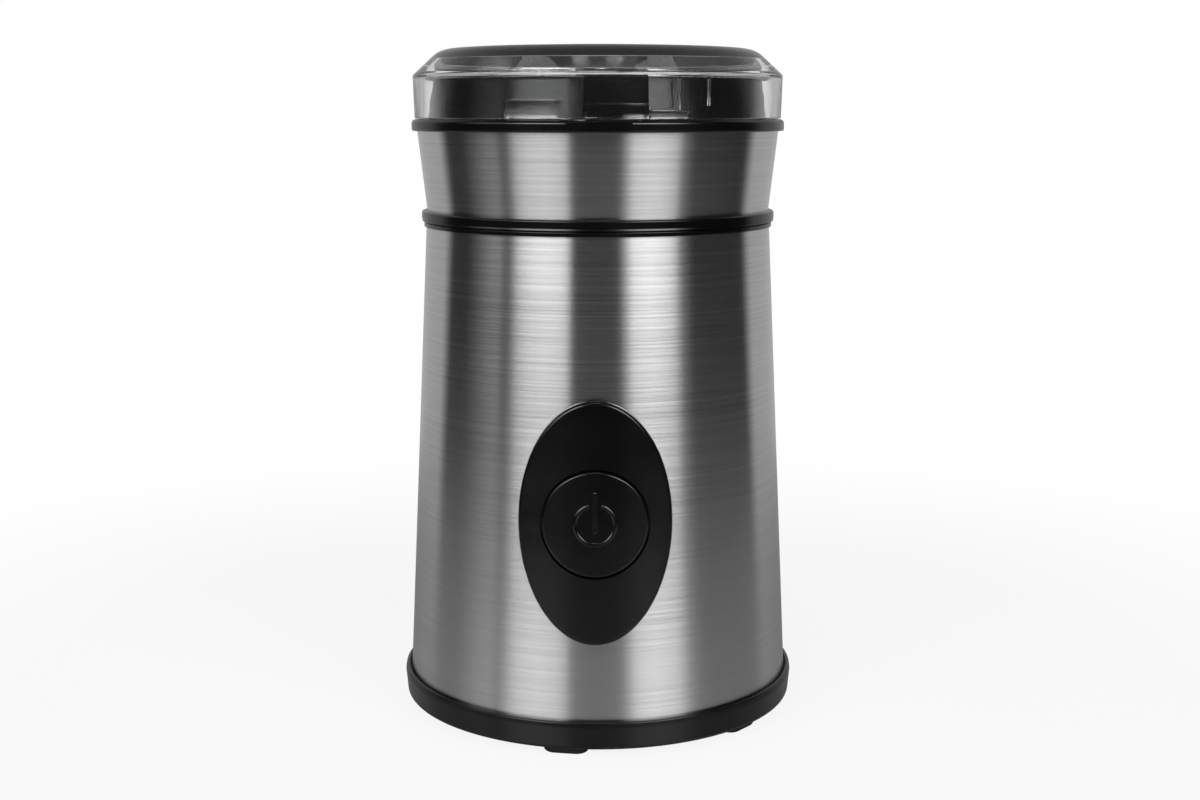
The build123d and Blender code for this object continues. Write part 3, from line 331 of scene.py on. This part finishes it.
MATERIALS = {
    "clear_lid": clear_plastic("clear_lid_look"),
    "brushed_steel": brushed("brushed_steel_look", (0.56, 0.71), 0.22, 1.0, 0.0000008),
    "cup_steel": brushed("cup_steel_look", (0.42, 0.5), 0.08, 0.5, 0.0000004),
    "black_plastic": moulded("black_plastic_look", (grey(0.002), grey(0.003)), 0.2, 0.000006, 0.42),
    "button_plastic": moulded("button_plastic_look", (grey(0.0018), grey(0.0026)), 0.2, 0.000006, 0.45),
    "frame_plastic": moulded("frame_plastic_look", (grey(0.003), grey(0.005)), 0.24, 0.000006),
    "white_nylon": moulded("white_nylon_look", ((0.62, 0.6, 0.53, 1), (0.7, 0.68, 0.62, 1)), 0.45),
    "foot_rubber": moulded("foot_rubber_look", (grey(0.01), grey(0.014)), 0.7, 0.00006, 0.3),
    "seal_rubber": moulded("seal_rubber_look", (grey(0.12), grey(0.16)), 0.65, 0.00005, 0.3),
    "blade_steel": brushed("blade_steel_look", (0.55, 0.68), 0.28, 0.5, 0.000002),
    "shaft_steel": bright_metal("shaft_steel_look", grey(0.5), grey(0.62), 0.22),
    "screw_steel": bright_metal("screw_steel_look", grey(0.48), grey(0.64), 0.28),
    "spring_steel": bright_metal("spring_steel_look", grey(0.42), grey(0.55), 0.25),
    "lamination_steel": stacked_plates("lamination_steel_look"),
    "bridge_steel": bright_metal("bridge_steel_look", (0.42, 0.43, 0.4, 1), (0.56, 0.57, 0.52, 1), 0.4),
    "copper": wound_copper("copper_look"),
    "commutator_copper": bright_metal(
        "commutator_copper_look", (0.5, 0.22, 0.11, 1), (0.74, 0.37, 0.2, 1), 0.25
    ),
    "sintered_bronze": bright_metal(
        "sintered_bronze_look", (0.28, 0.18, 0.08, 1), (0.42, 0.28, 0.13, 1), 0.5
    ),
    "phenolic": moulded("phenolic_look", ((0.05, 0.018, 0.008, 1), (0.08, 0.03, 0.014, 1)), 0.4),
    "carbon": moulded("carbon_look", (grey(0.015), grey(0.03)), 0.6, 0.00006),
}


def dress(piece, slot):
    piece.data.materials.clear()
    piece.data.materials.append(MATERIALS[slot])


for part in frame["record"]["subparts"]:
    dress(nodes[part["node"]], part["material_slot"])

# Meshes

HARD_EDGE = math.radians(28)
ROUND_STEPS = 10
TURN_STEPS = 192
MERGE_DISTANCE = 1e-7
SAME_PLACE = 1e-8
ON_FACE = 1e-6


def rounded(corners):
    """Points of an outline with corners (radius, level) or (radius, level, rounding), all in millimetres."""
    points = []
    for index, corner in enumerate(corners):
        here = Vector(corner[:2])
        amount = corner[2] if len(corner) > 2 else 0.0
        if not amount:
            points.append(here)
            continue
        before = (Vector(corners[index - 1][:2]) - here).normalized()
        after = (Vector(corners[(index + 1) % len(corners)][:2]) - here).normalized()
        half = before.angle(after) / 2
        first, last = here + before * (amount / math.tan(half)), here + after * (amount / math.tan(half))
        centre = here + (before + after).normalized() * (amount / math.sin(half))
        for step in range(ROUND_STEPS + 1):
            blend = first.lerp(last, step / ROUND_STEPS) - centre
            points.append(centre + blend.normalized() * amount)
    return points


def finish_mesh(name, shape):
    """Object from a bmesh: outward faces, smooth but for hard edges."""
    bmesh.ops.remove_doubles(shape, verts=shape.verts, dist=MERGE_DISTANCE)
    bmesh.ops.recalc_face_normals(shape, faces=shape.faces)
    for face in shape.faces:
        face.smooth = True
    for edge in shape.edges:
        edge.smooth = len(edge.link_faces) == 2 and edge.calc_face_angle(0.0) < HARD_EDGE
    mesh = bpy.data.meshes.new(name)
    shape.to_mesh(mesh)
    shape.free()
    piece = bpy.data.objects.new(name, mesh)
    bpy.context.scene.collection.objects.link(piece)
    return piece


def tube(rows):
    """Closed bmesh over rows of points, with a flat end at the first row and at the last."""
    shape = bmesh.new()
    rings = [[shape.verts.new(point) for point in row] for row in rows]
    for near, far in zip(rings, rings[1:]):
        for index in range(len(near)):
            after = (index + 1) % len(near)
            shape.faces.new((near[index], near[after], far[after], far[index]))
    shape.faces.new(rings[0])
    shape.faces.new(rings[-1])
    return shape


def add_turned(shape, corners, turns=None):
    """Adds an outline turned about Z, the whole way round or between two bearings from the front."""
    first, last = turns or (0.0, 360.0)
    outline = [point * MM for point in rounded(corners)]
    closed = turns is None
    count = TURN_STEPS if closed else max(2, round(TURN_STEPS * (last - first) / 360))
    rings = []
    for step in range(count if closed else count + 1):
        turn = math.radians(first + (last - first) * step / count)
        rings.append([shape.verts.new((p.x * math.sin(turn), -p.x * math.cos(turn), p.y)) for p in outline])
    for step in range(count):
        near, far = rings[step], rings[(step + 1) % len(rings)]
        for index in range(len(outline)):
            after = (index + 1) % len(outline)
            corners_here = [near[index], near[after], far[after], far[index]]
            kept = []
            for vertex in corners_here:
                if all((vertex.co - other.co).length > SAME_PLACE for other in kept):
                    kept.append(vertex)
            if len(kept) > 2:
                shape.faces.new(kept)
    if not closed:
        shape.faces.new(rings[0])
        shape.faces.new(rings[-1])


def joined(piece, others):
    """Joins closed pieces to one clean closed mesh, so that no wall is left inside the clear plastic."""
    for other in others:
        union = piece.modifiers.new("union", "BOOLEAN")
        union.operation = "UNION"
        union.solver = "EXACT"
        union.object = other
    shape = bmesh.new()
    shape.from_object(piece, bpy.context.evaluated_depsgraph_get())
    for old in (piece, *others):
        bpy.data.objects.remove(old)
    return shape


# The lid's section: (radius, level, rounding)
LID_OUTLINE = (
    (LID_BORE, LID_FOOT), (45.9, LID_FOOT, 0.3), (46.2, 160.6, 0.9), (39.4, 166.9, 6.5),
    (16.0, 167.85, 300.0), (0.0, 167.85), (0.0, 164.0), (41.0, 164.0, 0.6), (LID_BORE, 160.0, 0.4),
)

# What stands on its inner wall: (inner radius, first bearing, last bearing, foot, top)
LID_DETAILS = (
    (41.25, -3.0, 16.0, 150.4, 153.6),
    (LID_BORE - 0.8, -28.0, -11.0, LID_FOOT, 154.45),
    (LID_BORE - 0.8, 16.4, 29.0, LID_FOOT, 152.05),
    (LID_BORE - 0.5, 25.2, 26.0, 152.2, 159.1),
    (LID_BORE - 0.5, 35.6, 36.4, 153.1, 159.1),
)
DETAIL_ROUND = 0.2
DETAIL_STEPS = 4
TONGUE = ((41.25, 143.9), (42.25, 143.9), (42.25, 150.9), (41.25, 150.9))
TONGUE_BEARINGS = (0.5, 8.0)


def soften(shape, inner):
    """Rounds the edges round the inner face of a detail, whose radius is given in millimetres."""
    bmesh.ops.recalc_face_normals(shape, faces=shape.faces)
    edges = []
    for edge in shape.edges:
        at_face = all(abs(vertex.co.xy.length - inner * MM) < ON_FACE for vertex in edge.verts)
        if at_face and edge.calc_face_angle(0.0) > HARD_EDGE:
            edges.append(edge)
    bmesh.ops.bevel(
        shape, geom=edges, offset=DETAIL_ROUND * MM, segments=DETAIL_STEPS, profile=0.5, affect="EDGES"
    )


def clear_cap():
    """The clear lid, turned fine enough for clean refraction, with its tab, tongue, lugs and ribs."""
    cap = bmesh.new()
    add_turned(cap, LID_OUTLINE)
    details = []
    outer = LID_BORE + LID_ROOT
    for index, (inner, first, last, low, high) in enumerate(LID_DETAILS):
        detail = bmesh.new()
        add_turned(detail, ((inner, low), (outer, low), (outer, high), (inner, high)), (first, last))
        soften(detail, inner)
        details.append(finish_mesh(f"lid_detail_{index}", detail))
    tongue = bmesh.new()
    add_turned(tongue, TONGUE, TONGUE_BEARINGS)
    details.append(finish_mesh("lid_tongue", tongue))
    piece = finish_mesh("lid_cap", joined(finish_mesh("lid_blank", cap), details))
    piece.data.materials.append(MATERIALS["clear_lid"])
    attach(piece, "lid")
    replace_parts(piece, "lid")


def button_face(x, z):
    """Depth of the button's curved face at a place in the front view."""
    (foot, low), (top, high) = SHELL_FOOT, SHELL_TOP
    radius = foot + (top - foot) * (z - low) / (high - low) + BUTTON_PROUD
    return -math.sqrt(radius**2 - x**2)


def bead(name, path):
    """A low round bead along a path of (x, z) on the button's face, with rounded ends, closed all round."""
    base = math.sqrt(SIGN_ROUND**2 - (SIGN_WIDTH / 2) ** 2)
    section = []
    for step in range(-BEAD_STEPS, BEAD_STEPS + 1):
        lean = math.radians(BEAD_LEAN * step)
        section.append((SIGN_ROUND * math.sin(lean), SIGN_ROUND * math.cos(lean) - base))
    sink = section[0][1]
    rows = []
    for index, (x, z) in enumerate(path):
        before, after = Vector(path[max(index - 1, 0)]), Vector(path[min(index + 1, len(path) - 1)])
        along = (after - before).normalized()
        from_end = min(index, len(path) - 1 - index) * SIGN_STEP
        short = max(0.0, 1 - (from_end + SIGN_STEP / 4) / (SIGN_WIDTH / 2))
        swell = math.sqrt(1 - short**2)
        row = []
        for across, up in section:
            place_x, place_z = x - along.y * across * swell, z + along.x * across * swell
            depth = button_face(place_x, place_z) - sink - (up - sink) * swell
            row.append((place_x * MM, depth * MM, place_z * MM))
        rows.append(row)
    piece = finish_mesh(name, tube(rows))
    piece.data.materials.append(MATERIALS["button_plastic"])
    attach(piece, "button")


def power_sign():
    """The common on and off sign, raised on the button: a ring open at the top, and an upright bar."""
    gap = math.radians(SIGN_GAP)
    steps = round(SIGN_RADIUS * (math.tau - 2 * gap) / SIGN_STEP)
    ring = []
    for step in range(steps + 1):
        turn = gap + (math.tau - 2 * gap) * step / steps
        ring.append((SIGN_RADIUS * math.sin(turn), SWITCH_LEVEL + SIGN_RADIUS * math.cos(turn)))
    bead("sign_ring", ring)
    steps = round((SIGN_BAR_TOP - SIGN_BAR_FOOT) / SIGN_STEP)
    foot = SWITCH_LEVEL + SIGN_BAR_FOOT
    bead("sign_bar", [(0.0, foot + SIGN_STEP * step) for step in range(steps + 1)])


# Coils of the springs that work: (radius, wire, turns), in millimetres
BUTTON_COIL = (3.6, 0.6, 4)
ROD_COIL = (1.7, 0.5, 5)
COIL_STEPS = 36


def coil(name, node, sizes, upright):
    """Coil of square wire in place of a solid one, which can't change its length. It points up or forward."""
    radius, wire, turns = sizes
    low, high = (Vector(corner) * MM_PER_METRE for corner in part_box(node))
    middle, span = (low + high) / 2, high - low
    foot, way, length = (low.z, 1, span.z) if upright else (high.y, -1, span.y)
    half = wire / 2
    rows = []
    count = turns * COIL_STEPS
    for step in range(count + 1):
        turn = math.tau * step / COIL_STEPS
        along = half + (length - wire) * step / count
        row = []
        for out, up in ((-half, -half), (half, -half), (half, half), (-half, half)):
            first, second = (radius + out) * math.cos(turn), (radius + out) * math.sin(turn)
            level = foot + way * (along + up)
            if upright:
                place = (middle.x + first, middle.y + second, level)
            else:
                place = (middle.x + first, level, middle.z + second)
            row.append([value * MM for value in place])
        rows.append(row)
    piece = finish_mesh(name, tube(rows))
    piece.data.materials.append(MATERIALS["spring_steel"])
    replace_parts(piece, node)
    return piece, middle * MM, low * MM, high * MM


def working_springs():
    """Coils of square wire in place of the button's spring and the interlock rod's spring. The button's coil
    rides on the housing.
    """
    piece, middle, low, high = coil("button_coil", "button_spring", BUTTON_COIL, False)
    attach(piece, "housing")
    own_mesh(piece)
    piece, middle, low, high = coil("rod_coil", "interlock_spring", ROD_COIL, True)
    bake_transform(piece)


# The black rings at the waist: (radius, level, rounding)
WAIST_OUTLINE = (
    (42.6, 124.7), (44.25, 124.7), (44.4, 124.8), (44.27, 125.25), (44.5, 125.3), (44.5, 127.3, 0.6),
    (42.6, 127.3),
)
LIP_OUTLINE = ((43.4, 123.45), (43.93, 123.45), (43.93, 124.5, 0.3), (43.4, 124.5))


def black_ring(name, outline):
    """Ring turned fine enough for an even line of light along its edges."""
    ring = bmesh.new()
    add_turned(ring, outline)
    piece = finish_mesh(name, ring)
    piece.data.materials.append(MATERIALS["black_plastic"])
    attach(piece, "housing")
    return piece


clear_cap()
power_sign()
working_springs()
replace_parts(black_ring("waist_trim", WAIST_OUTLINE), "waist_ring")
black_ring("lip_trim", LIP_OUTLINE)

# Stage, in metres. The tone that metal sees in the floor is its own, darker one: painted shade, so that the
# floor is darker in reflections than it is to the camera.

FLOOR_RADIUS = 0.36
FLOOR_STEPS = 96
FLOOR_TONE = (0.78, 0.82)
FLOOR_ROUGHNESS = 0.5
FLOOR_REFLECTED_SHADE_TONE = (0.39, 0.42)
FLOOR_POLISH = 0.08
FLOOR_POLISH_TONE = 0.75
FLOOR_POLISH_ROUGHNESS = 0.12
FLOOR_SHADE_RADIUS = 0.16
FLOOR_WHITE_RADIUS = FLOOR_RADIUS * 0.9
# The share of plain white that the camera sees, from the first of these radii out to the second
FLOOR_WHITE = (0.88, 1.0)


def floor():
    """Pale table top. The camera sees it nearly white, with the object's shadow, and white at its edge."""
    mesh = bpy.data.meshes.new("floor")
    turns = [step * math.tau / FLOOR_STEPS for step in range(FLOOR_STEPS)]
    rim = [(FLOOR_RADIUS * math.cos(turn), FLOOR_RADIUS * math.sin(turn), 0.0) for turn in turns]
    mesh.from_pydata(rim, [], [list(range(FLOOR_STEPS))])
    piece = bpy.data.objects.new("floor", mesh)
    bpy.context.scene.collection.objects.link(piece)
    material = bpy.data.materials.new("floor_look")
    graph = Graph(material)
    cloud = graph.noise((5, 5, 5), 2)
    rays = graph.add("ShaderNodeLightPath").outputs
    # In reflections the floor takes a darker copy of its tone: painted shade, not its own colour
    plain, mirrored = (
        graph.blended(cloud, grey(low), grey(high)) for low, high in (FLOOR_TONE, FLOOR_REFLECTED_SHADE_TONE)
    )
    shader = graph.add("ShaderNodeBsdfPrincipled")
    graph.feed(shader, "Base Color", graph.blended(rays["Is Glossy Ray"], plain, mirrored))
    graph.feed(shader, "Roughness", FLOOR_ROUGHNESS)
    polish = graph.add("ShaderNodeBsdfGlossy")
    graph.feed(polish, "Color", grey(FLOOR_POLISH_TONE))
    graph.feed(polish, "Roughness", FLOOR_POLISH_ROUGHNESS)
    glow = graph.add("ShaderNodeEmission")
    graph.feed(glow, "Color", grey(1.0))
    away = graph.add("ShaderNodeVectorMath", operation="LENGTH")
    graph.link(graph.place(), away.inputs[0])
    share = graph.ranged(away.outputs["Value"], FLOOR_SHADE_RADIUS, FLOOR_WHITE_RADIUS, *FLOOR_WHITE)
    seen = graph.maths("MAXIMUM", rays["Is Camera Ray"], rays["Is Transmission Ray"])
    sheen = graph.mixed(graph.product(rays["Is Glossy Ray"], FLOOR_POLISH), shader, polish)
    graph.output(graph.mixed(graph.product(seen, share), sheen, glow))
    mesh.materials.append(material)


# Soft panels above the horizon, two bright ones in front and a faint one on the left:
# (bearing in degrees, share of the full level). All angles of the world are in degrees.
PANELS = (
    (-96, 0.0), (-88, 0.1), (-76, 0.25), (-68, 0.27), (-63.5, 0.02), (-60, 0.08), (-57, 0.35), (-53, 0.75),
    (-45, 0.95), (-34, 1.0), (-24, 0.88), (-20, 0.75), (-15.5, 0.0), (15, 0.0), (20, 0.4), (24, 0.95),
    (36, 1.12), (44, 1.02), (50, 0.9), (54, 0.72), (57.5, 0.2), (62, 0.1), (66, 0.0),
)
PANEL_LEVEL = 7.0
PANEL_FOOT = 14.5
PANEL_TOP = 38.0
PANEL_EDGE = 3.0
# The far table mirrors the panels below the horizon, at this share of their level
TABLE_SHEEN = 0.17
TABLE_SHEEN_RANGE = (-23.0, -12.0)
TOP_LAMP_LEVEL = 3.0
TOP_LAMP_FOOT = 57.0
TOP_LAMP_TOP = 68.0
TOP_LAMP_BEARING = 20.0
ROOM_LEVEL = 0.025
# The pale backdrop starts between these bearings, ends between these heights, and is dimmer for metal
# and for what has been mirrored once inside the lid.
PALE_BEARINGS = (110.0, 120.0)
PALE_TOP = (20.0, 32.0)
PALE_GLOSSY = 0.45
PALE_SECOND = 0.4


def raised(graph, value, low, high, edge):
    """1 between two angles in degrees, 0 outside them, with soft edges. The value is an angle in radians."""
    rise = graph.ranged(value, math.radians(low - edge), math.radians(low + edge), 0.0, 1.0)
    fall = graph.ranged(value, math.radians(high - edge), math.radians(high + edge), 1.0, 0.0)
    return graph.product(rise, fall)


def world():
    """White for the camera, and pale for rays that go straight through the lid. For all else a dark room with
    lit panels in front, a lamp above and a pale backdrop behind."""
    scene_world = bpy.data.worlds.new("studio")
    bpy.context.scene.world = scene_world
    graph = Graph(scene_world)
    direction = graph.add("ShaderNodeTexCoord").outputs["Generated"]
    parts = graph.add("ShaderNodeSeparateXYZ")
    graph.link(direction, parts.inputs[0])
    bearing = graph.maths("ARCTAN2", parts.outputs["X"], graph.product(parts.outputs["Y"], -1.0))
    aside = graph.maths("ABSOLUTE", bearing)
    height = graph.maths("ARCSINE", parts.outputs["Z"])
    ramp = graph.add("ShaderNodeValToRGB")
    graph.link(graph.ranged(bearing, -math.pi, math.pi, 0.0, 1.0), ramp.inputs[0])
    stops = ramp.color_ramp
    top = max(share for _, share in PANELS)
    for index, (degrees, share) in enumerate(PANELS):
        position = (degrees + 180) / 360
        stop = stops.elements[index] if index < 2 else stops.elements.new(position)
        stop.position = position
        stop.color = grey(share / top)
    window = raised(graph, height, PANEL_FOOT, PANEL_TOP, PANEL_EDGE)
    far_table = graph.product(raised(graph, height, *TABLE_SHEEN_RANGE, PANEL_EDGE), TABLE_SHEEN)
    window = graph.maths("ADD", window, far_table)
    panels = graph.product(ramp.outputs[0], window, top * PANEL_LEVEL)
    over = raised(graph, height, TOP_LAMP_FOOT, TOP_LAMP_TOP, PANEL_EDGE)
    middle = raised(graph, bearing, -TOP_LAMP_BEARING, TOP_LAMP_BEARING, PANEL_EDGE)
    lamp_over = graph.product(over, middle, TOP_LAMP_LEVEL)
    lit = graph.maths("ADD", graph.maths("ADD", panels, lamp_over), ROOM_LEVEL)
    rays = graph.add("ShaderNodeLightPath").outputs
    first, last = map(math.radians, PALE_BEARINGS)
    behind = graph.ranged(aside, first, last, 0.0, 1.0)
    low, high = map(math.radians, PALE_TOP)
    under = graph.ranged(height, low, high, 1.0, 0.0)
    mirrored = graph.ranged(rays["Glossy Depth"], 0.0, 1.0, 1.0, PALE_SECOND)
    straight = graph.ranged(rays["Glossy Depth"], 0.0, 1.0, 1.0, 0.0)
    seen = graph.product(under, mirrored, graph.maths("MAXIMUM", behind, straight))
    through = graph.product(rays["Is Transmission Ray"], seen)
    sheen = graph.product(rays["Is Glossy Ray"], PALE_GLOSSY, behind)
    pale = graph.maths("MAXIMUM", through, sheen)
    white = graph.maths("MAXIMUM", rays["Is Camera Ray"], pale)
    background = graph.add("ShaderNodeBackground")
    graph.link(graph.blended(white, lit, grey(1.0)), background.inputs["Color"])
    graph.output(background, "World")


def camera():
    """The photograph's view, from a fit of the object's outline."""
    data = bpy.data.cameras.new("camera")
    data.sensor_width = SENSOR_WIDTH
    data.lens = FOCAL_PIXELS / PHOTO_WIDTH * SENSOR_WIDTH
    data.clip_start = CAMERA_CLIP
    piece = bpy.data.objects.new("camera", data)
    bpy.context.scene.collection.objects.link(piece)
    aside = (PHOTO_WIDTH / 2 - AXIS_PIXEL) / FOCAL_PIXELS * CAMERA_DISTANCE
    back = Vector((math.sin(CAMERA_BEARING), -math.cos(CAMERA_BEARING), 0.0))
    right = Vector((math.cos(CAMERA_BEARING), math.sin(CAMERA_BEARING), 0.0))
    piece.location = back * CAMERA_DISTANCE + right * aside + Vector((0, 0, CAMERA_HEIGHT))
    piece.rotation_euler = (math.pi / 2 - CAMERA_PITCH, 0.0, CAMERA_BEARING)
    bpy.context.scene.camera = piece


# Lamps, in metres and watts
LAMP_BEARING = 45
LAMP_DISTANCE = 1.2
LAMP_HEIGHT = 1.0
LAMP_SIZE = 0.6
LAMP_ENERGY = 2.0
LAMP_AIM = Vector((0, 0, 0.09))


def lamp(name, bearing):
    """Soft square lamp that points at the middle of the object and doesn't show in reflections."""
    data = bpy.data.lights.new(name, "AREA")
    data.shape = "SQUARE"
    data.size = LAMP_SIZE
    data.energy = LAMP_ENERGY
    piece = bpy.data.objects.new(name, data)
    bpy.context.scene.collection.objects.link(piece)
    turn = math.radians(bearing)
    place = Vector((LAMP_DISTANCE * math.sin(turn), -LAMP_DISTANCE * math.cos(turn), LAMP_HEIGHT))
    piece.location = place
    piece.rotation_euler = (LAMP_AIM - place).to_track_quat("-Z", "Y").to_euler()
    piece.visible_glossy = False


floor()
world()
lamp("lamp_left", -LAMP_BEARING)
lamp("lamp_right", LAMP_BEARING)
camera()

bpy.context.scene.view_settings.view_transform = "Standard"
